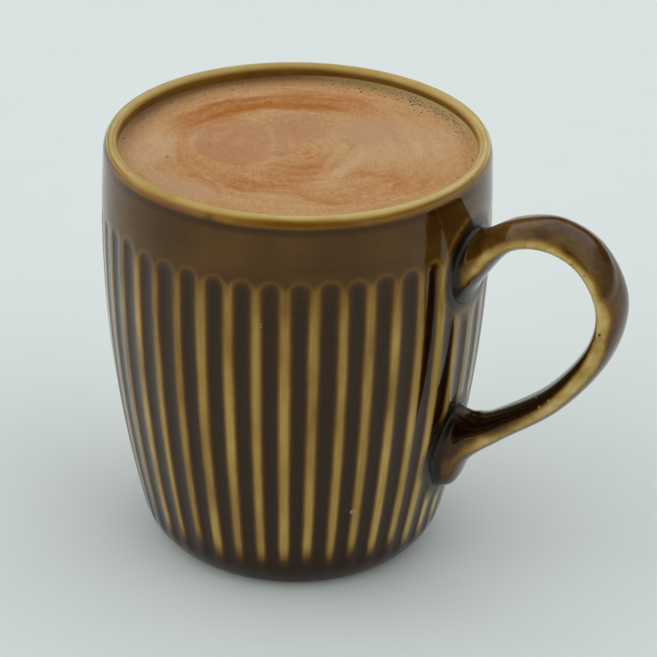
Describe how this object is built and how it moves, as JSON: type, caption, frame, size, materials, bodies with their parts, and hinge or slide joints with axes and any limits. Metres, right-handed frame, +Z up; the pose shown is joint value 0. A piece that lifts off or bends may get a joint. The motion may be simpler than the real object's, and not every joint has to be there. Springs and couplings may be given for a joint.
{
  "type": "filled drinking mug",
  "caption": "Fluted stoneware mug with a strap handle, filled almost to its lip with a foamy white chocolate mocha.",
  "frame": {"origin": "on the table, under the middle of the whole length, handle included", "axes": "+Z up, +X out through the handle, +Y across"},
  "size_m": [0.1209, 0.086, 0.0961],
  "materials": {
    "amber_glaze": "glossy amber brown glaze over stoneware, breaking to tan on the edges",
    "milk_foam": "soft matt fine milk foam, tan with orange brown swirls"
  },
  "bodies": {
    "root": {"mug": "amber_glaze", "drink": "milk_foam"}
  },
  "joints": []
}
